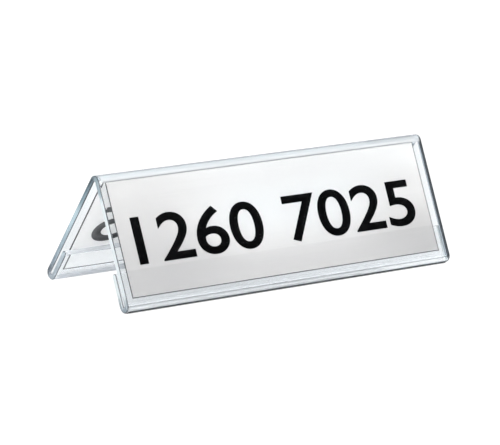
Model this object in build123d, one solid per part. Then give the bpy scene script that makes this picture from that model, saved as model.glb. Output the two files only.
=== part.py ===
"""Tent-shaped desk name plate: one bent sheet of clear acrylic and the two cards that slip into it.

Frame: +X runs along the plate, -Y is the front, +Z is up. The origin is on the desk, under the middle.
The sheet is drawn as the path of its outer face, from the ridge down to the tip of the front lip.
"""

import os
from math import cos, radians, sin

from build123d import *

# Driving dimensions, in millimetres and degrees
card_length = 215.9
card_height = 63.5
card_thickness = 0.3
sheet_thickness = 3.2
lean_angle = 29.0
ridge_inside_radius = 0.8
lip_run = 17.8

# Clearances and margins, in millimetres
card_end_margin = 5.8
card_head_gap = 0.4
card_foot_gap = 3.0
card_panel_play = 0.15
card_lip_play = 0.85

# Polished edges, in millimetres
edge_round = 0.9
lip_tip_round = 1.2

# Sizes that follow from those above
holder_length = card_length + 2 * card_end_margin
panel_run = card_foot_gap + card_height + card_head_gap
slot_width = card_panel_play + card_thickness + card_lip_play
ridge_outside_radius = ridge_inside_radius + sheet_thickness
foot_outside_radius = slot_width / 2 + sheet_thickness
bend_step = foot_outside_radius - ridge_outside_radius
lean = radians(lean_angle)
ridge_height = (
    ridge_outside_radius + panel_run * cos(lean) + bend_step * sin(lean) + foot_outside_radius
)


def outer_face_path():
    """Front half of the sheet's outer face in the YZ plane: ridge bend, panel, foot bend and lip."""
    ridge = JernArc((0, ridge_height), (-1, 0), ridge_outside_radius, 90 - lean_angle)
    panel = PolarLine(ridge @ 1, panel_run, direction=ridge % 1)
    foot = JernArc(panel @ 1, panel % 1, foot_outside_radius, 180)
    lip = PolarLine(foot @ 1, lip_run, direction=foot % 1)
    return ridge, panel, foot, lip


def half_profile():
    """Front half of the bent sheet's section, with the tip of its lip rounded over."""
    lip_tip = outer_face_path()[-1] @ 1
    path = Wire(Curve() + outer_face_path())
    section = make_face(offset(path, sheet_thickness, side=Side.LEFT).edges())
    tip_corners = section.vertices().sort_by_distance(lip_tip)[:2]
    return fillet(tip_corners, lip_tip_round)


def acrylic_tent():
    """The whole holder: both halves of the section in one sheet, with its cut ends polished round."""
    front = half_profile()
    section = Plane.YZ * (front + mirror(front, Plane.YZ))
    sheet = extrude(section, holder_length / 2, both=True)
    ends = sheet.faces().filter_by(Axis.X)
    return fillet(ends.edges(), edge_round)


def front_card():
    """A card upright against the inside of the front panel, drawn up to the ridge bend."""
    panel = outer_face_path()[1]
    head = Vector(0, (panel @ 0).X, (panel @ 0).Y)
    slope = Vector(0, (panel % 0).X, (panel % 0).Y)
    outward = Vector(0, -cos(lean), sin(lean))
    depth = sheet_thickness + card_panel_play + card_thickness / 2
    middle = head + slope * (card_head_gap + card_height / 2) - outward * depth
    face = Plane(origin=middle, x_dir=(1, 0, 0), z_dir=outward)
    return face * Box(card_length, card_height, card_thickness)


def rear_card():
    """The same card, turned to the back of the tent."""
    return front_card().rotate(Axis.Z, 180)


def write(name, piece):
    export_step(piece, os.path.join("parts", name + ".step"))


os.makedirs("parts", exist_ok=True)
write("acrylic_tent", acrylic_tent())
write("front_card", front_card())
write("rear_card", rear_card())
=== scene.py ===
"""Looks of the tent-shaped desk name plate: clear bent acrylic and two printed cards.

The pieces come first, then their finishes, then the floor, the light and the camera.
"""

from math import cos, pi, radians, sin

import bpy
from mathutils import Matrix, Quaternion, Vector


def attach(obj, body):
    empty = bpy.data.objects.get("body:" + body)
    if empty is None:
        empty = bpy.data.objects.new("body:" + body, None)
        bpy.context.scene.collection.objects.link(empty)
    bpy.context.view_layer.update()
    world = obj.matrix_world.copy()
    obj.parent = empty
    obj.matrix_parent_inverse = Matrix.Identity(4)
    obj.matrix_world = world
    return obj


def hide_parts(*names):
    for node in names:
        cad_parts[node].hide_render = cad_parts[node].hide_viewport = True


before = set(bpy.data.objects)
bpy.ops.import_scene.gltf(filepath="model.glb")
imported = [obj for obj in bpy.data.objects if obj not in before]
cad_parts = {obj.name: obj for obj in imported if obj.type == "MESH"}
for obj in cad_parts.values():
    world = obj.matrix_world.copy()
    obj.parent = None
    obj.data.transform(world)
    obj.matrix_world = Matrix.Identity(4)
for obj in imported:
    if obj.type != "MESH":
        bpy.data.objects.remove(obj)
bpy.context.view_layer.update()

# Sizes of the bent sheet, in metres and radians
MM = 0.001
LEAN = radians(29.0)
SHEET = 3.2 * MM
PANEL_RUN = 66.9 * MM
LIP_RUN = 17.8 * MM
SLOT = 1.3 * MM
RIDGE_INSIDE = 0.8 * MM
EDGE_ROUND = 0.9 * MM
LIP_TIP_ROUND = 1.2 * MM
HOLDER_LENGTH = 227.5 * MM

# Sizes of the cards and of the line of figures printed on them, in metres
CARD_LENGTH = 215.9 * MM
CARD_HEIGHT = 63.5 * MM
CARD_THICKNESS = 0.3 * MM
CARD_HEAD_GAP = 0.4 * MM
CARD_PLAY = 0.15 * MM
FIGURES = "1260 7025"
FIGURES_WIDTH = 196.0 * MM
FIGURES_HEIGHT = 26.7 * MM
FIGURES_MIDDLE = 34.0 * MM
INK_DEPTH = 0.03 * MM
INK_LIFT = 0.005 * MM

# Fineness of the meshes, and the weight added to the figures in the units of their type
FOOT_STEPS = 40
RIDGE_STEPS = 32
ROUND_STEPS = 6
FIGURE_STEPS = 12
FLOOR_STEPS = 96
SHARP_ANGLE = radians(50.0)
MERGE_DISTANCE = 0.001 * MM
FLAT_FACE_WEIGHT = 80
FIGURES_WEIGHT = 0.012

# Sizes that follow from those above
HOLDER_END = HOLDER_LENGTH / 2
RIDGE_RADIUS = RIDGE_INSIDE + SHEET
FOOT_RADIUS = SLOT / 2 + SHEET
BEND_STEP = FOOT_RADIUS - RIDGE_RADIUS
RIDGE_CENTRE = Vector((0.0, 0.0, FOOT_RADIUS + PANEL_RUN * cos(LEAN) + BEND_STEP * sin(LEAN)))
RIDGE_TOP = RIDGE_CENTRE.z + RIDGE_RADIUS
OUTWARD = Vector((0.0, -cos(LEAN), sin(LEAN)))
UPHILL = Vector((0.0, sin(LEAN), cos(LEAN)))
PANEL_HEAD = RIDGE_CENTRE + OUTWARD * RIDGE_RADIUS
FOOT_CENTRE = PANEL_HEAD - UPHILL * PANEL_RUN - OUTWARD * FOOT_RADIUS
LIP_DEPTH = SHEET + SLOT
LIP_TOP = CARD_HEAD_GAP + CARD_HEIGHT / 2 - (PANEL_RUN - LIP_RUN)
INK_MIDDLE = INK_LIFT + INK_DEPTH / 2
TURN_BACK = Matrix.Rotation(pi, 4, "Z")

# The photograph's view
IMAGE_WIDTH = 500
FOCAL_PIXELS = 3500.0
SENSOR_WIDTH = 36.0
VIEW_AZIMUTH = radians(-40.07)
VIEW_ELEVATION = radians(15.72)
VIEW_ROLL = radians(4.63)
VIEW_DISTANCE = 1923.0 * MM
VIEW_TARGET = Vector((-1.5, 3.7, 26.7)) * MM
NEAREST_SEEN = 0.05
FARTHEST_SEEN = 60.0
TOWARD_CAMERA = Vector((
    sin(VIEW_AZIMUTH) * cos(VIEW_ELEVATION),
    -cos(VIEW_AZIMUTH) * cos(VIEW_ELEVATION),
    sin(VIEW_ELEVATION),
))

# Each lamp's name, its place and size in metres, and its power in watts
LAMPS = (
    ("key", (-1.9, -1.35, 0.5), 0.8, 21.5),
    ("overhead", (0.0, -0.1, 1.5), 1.2, 7.0),
    ("rim", (0.9, 1.2, 0.6), 0.7, 8.0),
)

# The floor: its size and the reach of the shadow under the feet, in metres, and its colours
FLOOR_RADIUS = 12.0
FOOT_SHADOW_REACH = 8.0 * MM
FLOOR_GREY = 0.85
FLOOR_GREY_IN_VIEW = 0.15
FOOT_SHADOW_GREY = 0.03
FLOOR_THROUGH_ACRYLIC = (0.94, 0.97, 1.0, 1.0)

# The studio: levels of grey from the horizon, at 0, up the dome, and a black card in it
DOME_GREYS = ((0.0, 1.0), (0.2, 0.96), (0.45, 0.75), (0.8, 0.7))
STUDIO_THROUGH_ACRYLIC = (0.915, 0.935, 0.953, 1.0)
BLACK_CARD = (0.012, 0.013, 0.015, 1.0)
BLACK_CARD_INNER_ANGLE = radians(10.0)
BLACK_CARD_OUTER_ANGLE = radians(18.0)

# How often light may bounce, in all and through the clear sheet
MOST_BOUNCES = 32
CLEAR_BOUNCES = 24

# Clear acrylic: how it bends light, its tint over a long path, and the light it passes to the cards
ACRYLIC_IOR = 1.49
CLEAR = (0.995, 0.998, 1.0, 1.0)
DEEP_TINT = (0.1, 0.42, 0.56, 1.0)
DEEP_TINT_DENSITY = 3.4
LIGHT_PASSED = (0.967, 0.974, 0.978, 1.0)

# Colours of the cut ends, with shades that run from the foot, at 0, to the ridge, at 1.
# These are painted shade and light on a matt blue-grey: dark at foot and ridge, the rear leg darker
# than the front, a dark painted shade at the rounded border, and painted shade where the ends are seen
# from inside the sheet
FRONT_END_PAINTED_SHADES = (
    (0.04, (0.25, 0.30, 0.34, 1.0)),
    (0.12, (0.86, 0.93, 0.96, 1.0)),
    (0.8, (0.88, 0.95, 0.98, 1.0)),
    (0.9, (0.30, 0.38, 0.42, 1.0)),
)
REAR_END_PAINTED_SHADES = (
    (0.05, (0.07, 0.085, 0.11, 1.0)),
    (0.17, (0.22, 0.28, 0.34, 1.0)),
    (0.32, (0.32, 0.42, 0.49, 1.0)),
    (0.5, (0.48, 0.62, 0.70, 1.0)),
    (0.66, (0.52, 0.67, 0.74, 1.0)),
    (0.78, (0.16, 0.24, 0.29, 1.0)),
    (0.95, (0.05, 0.08, 0.10, 1.0)),
)
REAR_LIP_END = (0.62, 0.7, 0.76, 1.0)
END_BORDER_SHADE = (0.06, 0.075, 0.09, 1.0)
FRONT_END_INSIDE = (0.36, 0.43, 0.5, 1.0)
FRONT_BORDER_SHADE_INSIDE = (0.05, 0.06, 0.07, 1.0)
REAR_END_INSIDE = (0.62, 0.68, 0.72, 1.0)
LIP_END_INSIDE = (0.6, 0.66, 0.68, 1.0)

# Where the finish of the cut ends starts and is full, measured in from the end, in metres
END_STARTS = 0.85 * MM
END_FULL = 0.45 * MM
END_FLAT_STARTS = 0.3 * MM
END_FLAT_FULL = 0.1 * MM
END_SEEN_INSIDE = 2.4 * MM

# Where the sheet's front half blends into its rear half, and a panel into its lip, in metres
HALVES_BLEND = 1.0 * MM
LIP_BLEND_STARTS = SHEET + 0.2 * MM

# Where the faint haze and the painted shade on the bends and lips start and are full, in metres
RIDGE_HAZE_FULL = RIDGE_CENTRE.z + 2.0 * MM
FOOT_HAZE_FULL = FOOT_CENTRE.z - 1.5 * MM
FOOT_HAZE_ENDS = FOOT_CENTRE.z + 1.0 * MM
LOW_LIP_HAZE_ENDS = FOOT_CENTRE.z + 3.0 * MM
LIP_BACK_STARTS = LIP_DEPTH + 1.0 * MM
LIP_BACK_FULL = LIP_DEPTH + 2.0 * MM
LIP_TIP_STARTS = LIP_DEPTH - 0.3 * MM
LIP_TIP_HAZE_FULL = 0.4 * MM
LIP_TIP_HAZE_ENDS = 1.0 * MM

# Colours of that haze, and of the painted shade: grey on the back of the rear lip, and dark lines where
# the ridge and feet are seen edge-on
BEND_HAZE = (0.95, 0.98, 1.0, 1.0)
LIP_BACK_SHADE = (0.6, 0.63, 0.68, 1.0)
LIP_TIP_HAZE = (0.84, 0.86, 0.9, 1.0)
RIDGE_SHADE_LINE = (0.46, 0.48, 0.51, 1.0)
FOOT_SHADE_LINE = (0.03, 0.04, 0.05, 1.0)

# Colours of the cards and of the ink
# The print runs between these two, darkened by painted shade as well as by its printed fade
PRINT_AND_SHADE_DARK = (0.49, 0.479, 0.475, 1.0)
PRINT_PALE = (0.97, 0.938, 0.915, 1.0)
BARE_STOCK = (0.975, 0.98, 0.985, 1.0)
EDGE_SHADE_DARK = (0.05, 0.052, 0.056, 1.0)
EDGE_SHADE_PALE = (0.09, 0.092, 0.096, 1.0)
BLACK_INK = (0.001, 0.001, 0.0012, 1.0)
BLACK_INK_MOTTLE = 0.002
# Grey of a copy of the figures under each card's face: painted shade where the ink shows through the
# card
INK_SHADOW_THROUGH_CARD = (0.12, 0.125, 0.13, 1.0)
INK_SHADOW_THROUGH_CARD_MOTTLE = 0.03

# Where the printed fade and the painted shade of a card's face change, measured from the card's middle,
# in metres
FADE_FOOT = -27.0 * MM
FADE_HEAD = 3.0 * MM
FADE_RISE_LEFT = 12.0 * MM
FADE_RISE_RIGHT = 6.0 * MM
TOP_SHADE_STARTS = 9.0 * MM
TOP_SHADE_FULL = 27.0 * MM
LEFT_SHADE_STARTS = 15.0 * MM
LEFT_SHADE_FULL = 90.0 * MM
RIGHT_SHADE_STARTS = 35.0 * MM
LIP_TOP_BLEND = 0.3 * MM

# Widths of the dark line of painted shade along a card's cut edges, and how far light scatters in its
# stock, in metres
PRINTED_SIDE_EDGE_SHADE = 0.45 * MM
INNER_SIDE_EDGE_SHADE = 0.7 * MM
STOCK_SCATTER = 0.9 * MM

# Fineness of the patterns, in repeats per metre
HANDLING_MARKS = 45.0
END_STREAKS_ACROSS = 1100.0
END_STREAKS_ALONG = 45.0
END_DRIFT = 60.0
BRUSHED_STREAKS = (12.0, 900.0, 1.0)
CARD_FIBRES = 2500.0
TONER_GRAIN = 1800.0


class Number:
    """A number in a material, so that sums on it are written as Python."""

    def __init__(self, finish, socket):
        self.finish = finish
        self.socket = socket

    def sum(self, operation, first, second):
        node = self.finish.node("ShaderNodeMath", {"operation": operation}, {0: first, 1: second})
        return self.finish.number(node)

    def __add__(self, other):
        return self.sum("ADD", self, other)

    __radd__ = __add__

    def __sub__(self, other):
        return self.sum("SUBTRACT", self, other)

    def __rsub__(self, other):
        return self.sum("SUBTRACT", other, self)

    def __mul__(self, other):
        return self.sum("MULTIPLY", self, other)

    __rmul__ = __mul__

    def __abs__(self):
        return self.sum("ABSOLUTE", self, 0.0)

    def over(self, other):
        return self.sum("GREATER_THAN", self, other)

    def larger(self, other):
        return self.sum("MAXIMUM", self, other)


class Finish:
    """A node tree of a material or of the world, and the one way in which nodes are added to it."""

    def __init__(self, owner):
        owner.use_nodes = True
        self.owner = owner
        self.tree = owner.node_tree
        self.tree.nodes.clear()

    def node(self, kind, settings=None, inputs=None):
        node = self.tree.nodes.new(kind)
        for name, value in (settings or {}).items():
            if name == "stops":
                self.set_stops(node.color_ramp, value)
            else:
                setattr(node, name, value)
        for name, value in (inputs or {}).items():
            self.feed(node.inputs[name], value)
        return node

    def feed(self, socket, value):
        if isinstance(value, Number):
            value = value.socket
        if isinstance(value, bpy.types.Node):
            value = value.outputs[0]
        if isinstance(value, bpy.types.NodeSocket):
            self.tree.links.new(value, socket)
        else:
            socket.default_value = value

    def set_stops(self, ramp, stops):
        while len(ramp.elements) < len(stops):
            ramp.elements.new(1.0)
        for element, (place, colour) in zip(ramp.elements, stops):
            element.position = place
            element.color = colour

    def number(self, node, output=0):
        return Number(self, node.outputs[output])

    def parts(self, vector):
        """The numbers along X, Y and Z of a vector."""
        node = self.node("ShaderNodeSeparateXYZ", None, {0: vector})
        return [self.number(node, i) for i in range(3)]

    def mixed(self, share, first, second):
        """A colour between two others."""
        node = self.node("ShaderNodeMix", {"data_type": "RGBA"}, {0: share, 6: first, 7: second})
        return node.outputs[2]

    def blended(self, share, first, second):
        """A surface between two others."""
        return self.node("ShaderNodeMixShader", None, {0: share, 1: first, 2: second})

    def ramp(self, value, stops):
        """A colour that runs through the stops as value goes from 0 to 1."""
        return self.node("ShaderNodeValToRGB", {"stops": stops}, {0: value}).outputs[0]

    def smooth(self, value, low, high):
        """0 below low, 1 above high, and an easy curve between them."""
        node = self.node(
            "ShaderNodeMapRange",
            {"interpolation_type": "SMOOTHSTEP"},
            {"Value": value, "From Min": low, "From Max": high},
        )
        return self.number(node)

    def noise(self, places, scale, detail):
        node = self.node(
            "ShaderNodeTexNoise", None, {"Vector": places, "Scale": scale, "Detail": detail}
        )
        return self.number(node)


def new_finish(name):
    return Finish(bpy.data.materials.new(name))


def grey(level):
    return (level, level, level, 1.0)


def deselect():
    if bpy.context.mode != "OBJECT":
        bpy.ops.object.mode_set(mode="OBJECT")
    bpy.ops.object.select_all(action="DESELECT")


def settle():
    """Puts the place, turn and scale of the active object into its mesh."""
    bpy.ops.object.transform_apply(location=True, rotation=True, scale=True)


def finish_modifier(piece, name, kind, **settings):
    modifier = piece.modifiers.new(name, kind)
    for setting, value in settings.items():
        setattr(modifier, setting, value)
    bpy.ops.object.modifier_apply(modifier=name)


def extrude(way):
    bpy.ops.mesh.extrude_region_move(TRANSFORM_OT_translate={"value": way})


def spin(centre, angle, steps):
    bpy.ops.mesh.spin(steps=steps, angle=angle, center=centre, axis=(1.0, 0.0, 0.0))


def select_tip_edges(piece, tips):
    """Selects the long edges at the tips of the lips."""
    bpy.ops.mesh.select_all(action="DESELECT")
    bpy.ops.object.mode_set(mode="OBJECT")
    for edge in piece.data.edges:
        a, b = (piece.data.vertices[i].co for i in edge.vertices)
        long_edge = (a - b).length > HOLDER_END
        middle = (a + b) / 2
        edge.select = long_edge and any((middle - tip).length < SHEET for tip in tips)
    bpy.ops.object.mode_set(mode="EDIT")


def bent_sheet():
    """The holder: a strip at the front lip's tip, swept along lip, foot, panel, ridge and back down."""
    deselect()
    tip = FOOT_CENTRE - OUTWARD * (FOOT_RADIUS - SHEET / 2) + UPHILL * LIP_RUN
    bpy.ops.mesh.primitive_plane_add(size=1.0)
    piece = bpy.context.object
    piece.name = "bent_sheet"
    piece.scale = (HOLDER_LENGTH, SHEET, 1.0)
    piece.rotation_euler = (-LEAN, 0.0, 0.0)
    piece.location = tip
    settle()
    bpy.ops.object.mode_set(mode="EDIT")
    bpy.ops.mesh.select_mode(type="FACE")
    bpy.ops.mesh.select_all(action="SELECT")
    extrude(-UPHILL * LIP_RUN)
    spin(FOOT_CENTRE, pi, FOOT_STEPS)
    extrude(UPHILL * PANEL_RUN)
    spin(RIDGE_CENTRE, pi - 2 * LEAN, RIDGE_STEPS)
    rear_uphill = TURN_BACK @ UPHILL
    extrude(-rear_uphill * PANEL_RUN)
    spin(TURN_BACK @ FOOT_CENTRE, pi, FOOT_STEPS)
    extrude(rear_uphill * LIP_RUN)
    bpy.ops.mesh.select_all(action="SELECT")
    bpy.ops.mesh.remove_doubles(threshold=MERGE_DISTANCE)
    bpy.ops.mesh.normals_make_consistent(inside=False)
    bpy.ops.mesh.select_mode(type="EDGE")
    select_tip_edges(piece, (tip, TURN_BACK @ tip))
    bpy.ops.mesh.bevel(offset=LIP_TIP_ROUND, segments=ROUND_STEPS, affect="EDGES")
    bpy.ops.object.mode_set(mode="OBJECT")
    finish_modifier(
        piece,
        "polished_edges",
        "BEVEL",
        width=EDGE_ROUND,
        segments=ROUND_STEPS,
        limit_method="ANGLE",
        angle_limit=SHARP_ANGLE,
    )
    bpy.ops.object.shade_smooth()
    finish_modifier(piece, "flat_faces_stay_flat", "WEIGHTED_NORMAL", weight=FLAT_FACE_WEIGHT)
    return piece


def line_of_figures(name, lift, turn):
    """The line of figures as a thin layer of ink.

    Its middle is lift above a card's outer face, or under that face where lift is negative, as a grey
    copy that paints the shade of the ink showing through the card.
    """
    deselect()
    bpy.ops.object.text_add()
    piece = bpy.context.object
    piece.name = name
    piece.data.body = FIGURES
    piece.data.offset = FIGURES_WEIGHT
    piece.data.resolution_u = FIGURE_STEPS
    bpy.ops.object.convert(target="MESH")
    low = Vector([min(v.co[i] for v in piece.data.vertices) for i in range(3)])
    high = Vector([max(v.co[i] for v in piece.data.vertices) for i in range(3)])
    piece.location = -(low + high) / 2
    settle()
    piece.scale = (FIGURES_WIDTH / (high.x - low.x), FIGURES_HEIGHT / (high.y - low.y), 1.0)
    settle()
    finish_modifier(piece, "ink_layer", "SOLIDIFY", thickness=INK_DEPTH, offset=0.0)
    middle = PANEL_HEAD - UPHILL * FIGURES_MIDDLE - OUTWARD * (SHEET + CARD_PLAY - lift)
    lean_back = Matrix.Rotation(pi / 2 - LEAN, 4, "X")
    piece.matrix_world = turn @ Matrix.Translation(middle) @ lean_back
    settle()
    return piece


class SheetPlace:
    """Where a point lies on the bent sheet, as numbers in the sheet's material.

    depth runs inwards from a panel's outer face, and to_rear goes from 0 in front to 1 behind.
    """

    def __init__(self, finish):
        self.spot = finish.node("ShaderNodeTexCoord").outputs["Object"]
        self.along, self.back, self.height = finish.parts(self.spot)
        past_panel = abs(self.back) * cos(LEAN) + self.height * sin(LEAN)
        self.depth = PANEL_HEAD.dot(OUTWARD) - past_panel
        self.inner_side = finish.number(finish.node("ShaderNodeNewGeometry"), "Backfacing")
        self.to_rear = finish.smooth(self.back, -HALVES_BLEND, HALVES_BLEND)
        self.in_lip = finish.smooth(self.depth, LIP_BLEND_STARTS, LIP_DEPTH)
        self.past_middle = abs(self.along)
        self.near_end = finish.smooth(
            self.past_middle, HOLDER_END - END_SEEN_INSIDE, HOLDER_END - EDGE_ROUND
        )
        self.in_end_round = self.past_middle.over(HOLDER_END - EDGE_ROUND)


def cut_end_colour(finish, at):
    """Painted shade and light on the cut ends: streaked shades darker at foot and ridge and on the rear
    leg, a dark painted shade at the border, and plainer painted shades seen from inside.
    """
    down_leg = finish.node(
        "ShaderNodeCombineXYZ",
        None,
        {0: at.depth * END_STREAKS_ACROSS, 1: at.height * END_STREAKS_ALONG, 2: at.along},
    )
    streaks = finish.noise(down_leg, scale=1.0, detail=2.0)
    drift = finish.noise(at.spot, END_DRIFT, detail=1.0)
    up_leg = at.height * (1.0 / RIDGE_TOP) + (streaks - 0.5) * 0.3 + (drift - 0.5) * 0.2
    toward_lip = finish.smooth(at.depth, SHEET * 0.4, LIP_DEPTH)
    front_flat = finish.ramp(up_leg, FRONT_END_PAINTED_SHADES)
    rear_flat = finish.mixed(
        toward_lip * 0.55, finish.ramp(up_leg, REAR_END_PAINTED_SHADES), REAR_LIP_END
    )
    flat = finish.mixed(at.to_rear, front_flat, rear_flat)
    on_flat = finish.smooth(
        at.past_middle, HOLDER_END - END_FLAT_STARTS, HOLDER_END - END_FLAT_FULL
    )
    outside = finish.mixed(on_flat, END_BORDER_SHADE, flat)
    panel_inside = finish.mixed(at.to_rear, FRONT_END_INSIDE, REAR_END_INSIDE)
    front_round = at.in_end_round * (1.0 - at.to_rear)
    panel_inside = finish.mixed(front_round, panel_inside, FRONT_BORDER_SHADE_INSIDE)
    inside = finish.mixed(at.in_lip, panel_inside, LIP_END_INSIDE)
    return finish.mixed(at.inner_side, outside, inside)


def cut_end(finish, at):
    """The cut ends as a matt surface, and the share in which it covers the clear sheet."""
    surface = finish.node(
        "ShaderNodeBsdfPrincipled",
        None,
        {
            "Base Color": cut_end_colour(finish, at),
            "Roughness": 0.35,
            "IOR": ACRYLIC_IOR,
            "Specular IOR Level": 0.1,
        },
    )
    on_end = finish.smooth(at.past_middle, HOLDER_END - END_STARTS, HOLDER_END - END_FULL)
    # Seen from inside the sheet, the last millimetres before each end show painted shade instead of
    # clear acrylic
    inside = (1.0 - at.in_lip) * at.near_end * 0.95 + at.in_lip * at.in_end_round * 0.6
    share = at.inner_side * inside + (1.0 - at.inner_side) * on_end * 0.75
    return surface, share


def bend_haze_and_shade(finish, at):
    """A faint haze on the bends and lips, with painted shade: dark lines where the ridge and feet are
    seen edge-on, and grey on the back of the rear lip; and its share.
    """
    at_ridge = finish.smooth(at.height, RIDGE_CENTRE.z, RIDGE_HAZE_FULL)
    at_feet = 1.0 - finish.smooth(at.height, FOOT_HAZE_FULL, FOOT_HAZE_ENDS)
    low_on_lip = 1.0 - finish.smooth(at.height, FOOT_CENTRE.z, LOW_LIP_HAZE_ENDS)
    lip_back = (1.0 - at.inner_side) * finish.smooth(at.depth, LIP_BACK_STARTS, LIP_BACK_FULL)
    up_slope = at.height * cos(LEAN) - abs(at.back) * sin(LEAN)
    below_tip = FOOT_CENTRE.dot(UPHILL) + LIP_RUN - up_slope
    near_tip = 1.0 - finish.smooth(below_tip, LIP_TIP_HAZE_FULL, LIP_TIP_HAZE_ENDS)
    at_tip = near_tip * at.depth.over(LIP_TIP_STARTS)
    facing = finish.number(finish.node("ShaderNodeLayerWeight", None, {"Blend": 0.5}), "Facing")
    grazing = finish.smooth(facing, 0.4, 0.65)
    ridge_shade_line = at_ridge * grazing
    foot_shade_line = at_feet * (1.0 - lip_back) * grazing
    colour = finish.mixed(lip_back, BEND_HAZE, LIP_BACK_SHADE)
    colour = finish.mixed(at_tip, colour, LIP_TIP_HAZE)
    colour = finish.mixed(ridge_shade_line, colour, RIDGE_SHADE_LINE)
    colour = finish.mixed(foot_shade_line, colour, FOOT_SHADE_LINE)
    surface = finish.node(
        "ShaderNodeBsdfPrincipled",
        None,
        {"Base Color": colour, "Roughness": 0.5, "Specular IOR Level": 0.0},
    )
    # Only the rear lip's back takes the grey painted shade
    share = at_ridge * 0.5 + at_feet * 0.3 + low_on_lip * lip_back * at.to_rear * 0.45
    share = share.larger(at_tip * 0.7).larger(ridge_shade_line * 0.6).larger(foot_shade_line * 0.85)
    return surface, (1.0 - at.near_end) * share


def clear_acrylic():
    """Polished sheet: it bends light, takes up a little red over its length and lets lamps through. Its
    cut ends and bends carry painted shade and light.
    """
    finish = new_finish("clear_acrylic")
    at = SheetPlace(finish)
    handling = finish.smooth(finish.noise(at.spot, HANDLING_MARKS, detail=4.0), 0.45, 0.8)
    sheet = finish.node(
        "ShaderNodeBsdfPrincipled",
        None,
        {
            "Base Color": CLEAR,
            "Roughness": handling * 0.02 + 0.004,
            "IOR": ACRYLIC_IOR,
            "Transmission Weight": 1.0,
        },
    )
    end, end_share = cut_end(finish, at)
    haze, haze_share = bend_haze_and_shade(finish, at)
    # The clear sheet with the painted shade and light of its cut ends and bends
    polished = finish.blended(haze_share, finish.blended(end_share, sheet, end), haze)
    lamps_pass = finish.node("ShaderNodeBsdfTransparent", None, {"Color": LIGHT_PASSED})
    to_lamp = finish.node("ShaderNodeLightPath").outputs["Is Shadow Ray"]
    tint = finish.node(
        "ShaderNodeVolumeAbsorption", None, {"Color": DEEP_TINT, "Density": DEEP_TINT_DENSITY}
    )
    finish.node(
        "ShaderNodeOutputMaterial",
        None,
        {"Surface": finish.blended(to_lamp, polished, lamps_pass), "Volume": tint},
    )
    return finish.owner


def print_tone_and_shade(finish, along, up, grain):
    """How pale the print is: a soft printed grey fade from top to bottom, with painted shade darker
    towards the sides and below the top of the lip behind the card, and painted shade and light near the
    top.
    """
    to_left = finish.smooth(-1.0 * along, LEFT_SHADE_STARTS, LEFT_SHADE_FULL)
    to_right = finish.smooth(along, RIGHT_SHADE_STARTS, CARD_LENGTH / 2)
    near_top = finish.smooth(up, TOP_SHADE_STARTS, TOP_SHADE_FULL)
    # Painted shade of the lip behind the card: the print is paler above the lip's top
    clear_of_lip_shade = finish.smooth(up, LIP_TOP - LIP_TOP_BLEND, LIP_TOP + LIP_TOP_BLEND)
    level = up - to_left * FADE_RISE_LEFT - to_right * FADE_RISE_RIGHT
    fade = finish.smooth(level, FADE_FOOT, FADE_HEAD)
    left_shade = to_left * (fade * 0.5 + 0.2)
    right_shade = to_right * (1.0 - near_top) * (fade * 0.25 + 0.22)
    top_shade = near_top * (0.16 - to_left * 0.28)
    return fade * 0.66 + clear_of_lip_shade * 0.1 + 0.25 - left_shade - right_shade - top_shade + grain


def card_face(name, turn):
    """Card stock with a soft grey print and painted shade, faint brushed streaks, fibres, and a dark
    line of painted shade along its cut edges.
    """
    finish = new_finish(name)
    to_middle = SHEET + CARD_PLAY + CARD_THICKNESS / 2
    middle = PANEL_HEAD - UPHILL * (CARD_HEAD_GAP + CARD_HEIGHT / 2) - OUTWARD * to_middle
    facing = (turn @ Matrix.Rotation(pi / 2 - LEAN, 4, "X")).to_euler("XYZ")
    places = finish.node("ShaderNodeTexCoord").outputs["Object"]
    on_card = finish.node(
        "ShaderNodeMapping",
        {"vector_type": "TEXTURE"},
        {"Vector": places, "Location": turn @ middle, "Rotation": facing},
    )
    along, up, out = finish.parts(on_card)
    brushed = finish.node(
        "ShaderNodeMapping", None, {"Vector": on_card, "Scale": BRUSHED_STREAKS}
    )
    streaks = finish.noise(brushed, scale=1.0, detail=4.0)
    fibres = finish.noise(on_card, CARD_FIBRES, detail=2.0)
    grain = (streaks - 0.5) * 0.12 + (fibres - 0.5) * 0.06
    printed = finish.mixed(print_tone_and_shade(finish, along, up, grain), PRINT_AND_SHADE_DARK, PRINT_PALE)
    printed_side = out.over(0.0)
    face = finish.node(
        "ShaderNodeBsdfPrincipled",
        {"subsurface_method": "RANDOM_WALK"},
        {
            "Base Color": finish.mixed(printed_side, BARE_STOCK, printed),
            "Roughness": fibres * 0.2 + 0.55,
            "Subsurface Weight": 1.0,
            "Subsurface Radius": (1.0, 1.0, 1.0),
            "Subsurface Scale": STOCK_SCATTER,
            "Specular IOR Level": 0.3,
        },
    )
    # A dark line of painted shade along the card's cut edges
    edge_shade_colour = finish.mixed(fibres, EDGE_SHADE_DARK, EDGE_SHADE_PALE)
    edge_shade = finish.node(
        "ShaderNodeBsdfPrincipled", None, {"Base Color": edge_shade_colour, "Roughness": 0.6}
    )
    border = INNER_SIDE_EDGE_SHADE - printed_side * (INNER_SIDE_EDGE_SHADE - PRINTED_SIDE_EDGE_SHADE)
    at_side = abs(along).over(CARD_LENGTH / 2 - border)
    at_top_or_foot = abs(up).over(CARD_HEIGHT / 2 - border)
    bordered = finish.blended(at_side.larger(at_top_or_foot), face, edge_shade)
    finish.node("ShaderNodeOutputMaterial", None, {"Surface": bordered})
    return finish.owner


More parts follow.
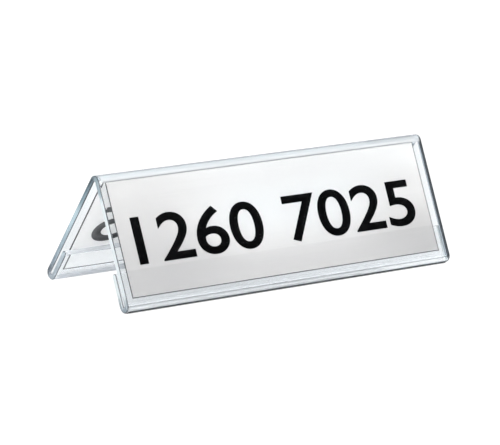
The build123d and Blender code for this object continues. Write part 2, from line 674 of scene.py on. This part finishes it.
def printed_ink(name, colour, mottle):
    """Toner, near black on the face; and a soft grey copy under the face, as painted shade where the
    ink shows through the back of the card.
    """
    finish = new_finish(name)
    places = finish.node("ShaderNodeTexCoord").outputs["Object"]
    grain = finish.noise(places, TONER_GRAIN, detail=3.0)
    lighter = tuple(c + mottle for c in colour[:3]) + (1.0,)
    ink = finish.node(
        "ShaderNodeBsdfPrincipled",
        None,
        {
            "Base Color": finish.mixed(grain, colour, lighter),
            "Roughness": grain * 0.2 + 0.4,
            "Specular IOR Level": 0.02,
        },
    )
    finish.node("ShaderNodeOutputMaterial", None, {"Surface": ink})
    return finish.owner


def pale_floor():
    """A large pale table top that shows white, with a painted shadow under the feet that is lighter
    behind them, and a glow seen in reflections and through the acrylic that is painted brighter towards
    the holder's right end.
    """
    deselect()
    bpy.ops.mesh.primitive_circle_add(
        vertices=FLOOR_STEPS, radius=FLOOR_RADIUS, fill_type="NGON"
    )
    piece = bpy.context.object
    piece.name = "pale_floor"
    finish = new_finish("pale_floor")
    spot = finish.node("ShaderNodeTexCoord").outputs["Object"]
    along, back, _ = finish.parts(spot)
    near = finish.node("ShaderNodeAmbientOcclusion", None, {"Distance": FOOT_SHADOW_REACH})
    # Painted contact shadow: the floor darkens where something is near, less so behind the feet
    open_share = finish.number(near, "AO") + finish.smooth(back, 0.0, 30.0 * MM) * 0.3
    clear_of_feet = finish.smooth(open_share, 0.05, 0.35)
    path = finish.node("ShaderNodeLightPath")
    camera = finish.number(path, "Is Camera Ray")
    by_gloss = finish.number(path, "Is Glossy Ray")
    by_gloss = by_gloss.larger(finish.number(path, "Is Transmission Ray"))
    pale = finish.mixed(camera.larger(by_gloss), grey(FLOOR_GREY), grey(FLOOR_GREY_IN_VIEW))
    colour = finish.mixed(clear_of_feet, grey(FOOT_SHADOW_GREY), pale)
    table = finish.node("ShaderNodeBsdfDiffuse", None, {"Color": colour})
    white = finish.mixed(camera, FLOOR_THROUGH_ACRYLIC, grey(1.0))
    # Painted light: the floor seen in reflections and through the acrylic glows brighter towards +X
    through = finish.smooth(along, -60.0 * MM, 60.0 * MM) * 0.15 + 0.77
    glow = clear_of_feet * (camera * 0.95 + by_gloss * through)
    lift = finish.node("ShaderNodeEmission", None, {"Color": finish.mixed(glow, grey(0.0), white)})
    both = finish.node("ShaderNodeAddShader", None, {0: table, 1: lift})
    finish.node("ShaderNodeOutputMaterial", None, {"Surface": both})
    piece.data.materials.append(finish.owner)


def studio_world():
    """White to the camera and pale through the acrylic. To all else a soft dome with a black card."""
    world = bpy.data.worlds.new("studio")
    bpy.context.scene.world = world
    finish = Finish(world)
    way = finish.node("ShaderNodeTexCoord").outputs["Generated"]
    rise = finish.parts(way)[2]
    dome = finish.ramp(rise, [(place, grey(level)) for place, level in DOME_GREYS])
    toward_card = 2.0 * TOWARD_CAMERA.dot(OUTWARD) * OUTWARD - TOWARD_CAMERA
    near_card = finish.node(
        "ShaderNodeVectorMath", {"operation": "DOT_PRODUCT"}, {0: way, 1: toward_card}
    )
    on_card = finish.smooth(
        finish.number(near_card, "Value"), cos(BLACK_CARD_OUTER_ANGLE), cos(BLACK_CARD_INNER_ANGLE)
    )
    path = finish.node("ShaderNodeLightPath")
    pale = finish.mixed(path.outputs["Is Transmission Ray"], dome, STUDIO_THROUGH_ACRYLIC)
    studio = finish.mixed(on_card, pale, BLACK_CARD)
    shown = finish.mixed(path.outputs["Is Camera Ray"], studio, grey(1.0))
    sky = finish.node("ShaderNodeBackground", None, {"Color": shown, "Strength": 1.0})
    finish.node("ShaderNodeOutputWorld", None, {"Surface": sky})


def softbox(name, place, size, power):
    lamp = bpy.data.lights.new(name, "AREA")
    lamp.shape = "SQUARE"
    lamp.size = size
    lamp.energy = power
    lamp.cycles.use_multiple_importance_sampling = False
    piece = bpy.data.objects.new(name, lamp)
    piece.location = place
    piece.rotation_mode = "QUATERNION"
    piece.rotation_quaternion = (VIEW_TARGET - Vector(place)).to_track_quat("-Z", "Y")
    piece.visible_transmission = False
    bpy.context.scene.collection.objects.link(piece)


def photo_camera():
    lens = bpy.data.cameras.new("photo_camera")
    lens.sensor_width = SENSOR_WIDTH
    lens.lens = SENSOR_WIDTH * FOCAL_PIXELS / IMAGE_WIDTH
    lens.clip_start = NEAREST_SEEN
    lens.clip_end = FARTHEST_SEEN
    camera = bpy.data.objects.new("photo_camera", lens)
    camera.location = VIEW_TARGET + TOWARD_CAMERA * VIEW_DISTANCE
    aim = (-TOWARD_CAMERA).to_track_quat("-Z", "Y")
    camera.rotation_mode = "QUATERNION"
    camera.rotation_quaternion = aim @ Quaternion((0.0, 0.0, 1.0), VIEW_ROLL)
    bpy.context.scene.collection.objects.link(camera)
    bpy.context.scene.camera = camera


def dress(piece, material):
    piece.data.materials.clear()
    piece.data.materials.append(material)


scene = bpy.context.scene
scene.view_settings.view_transform = "Standard"
scene.cycles.max_bounces = MOST_BOUNCES
scene.cycles.glossy_bounces = CLEAR_BOUNCES
scene.cycles.transmission_bounces = CLEAR_BOUNCES
scene.cycles.transparent_max_bounces = CLEAR_BOUNCES

photo_camera()
sheet = bent_sheet()
dress(sheet, clear_acrylic())
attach(sheet, "holder")
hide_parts("acrylic_tent")

ink = printed_ink("black_ink", BLACK_INK, BLACK_INK_MOTTLE)
ink_shadow = printed_ink("painted_ink_shadow", INK_SHADOW_THROUGH_CARD, INK_SHADOW_THROUGH_CARD_MOTTLE)
for side, turn in (("front", Matrix.Identity(4)), ("rear", TURN_BACK)):
    dress(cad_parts[side + "_card"], card_face(side + "_card_stock", turn))
    on_face = line_of_figures(side + "_figures", INK_MIDDLE, turn)
    dress(on_face, ink)
    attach(on_face, side + "_insert")
    # Under each card's face, a grey copy of the figures: painted shade where the ink shows through the
    # card
    through = line_of_figures(side + "_figures_through", -CARD_THICKNESS - INK_MIDDLE, turn)
    dress(through, ink_shadow)
    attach(through, side + "_insert")

pale_floor()
studio_world()
for name, place, size, power in LAMPS:
    softbox(name, place, size, power)
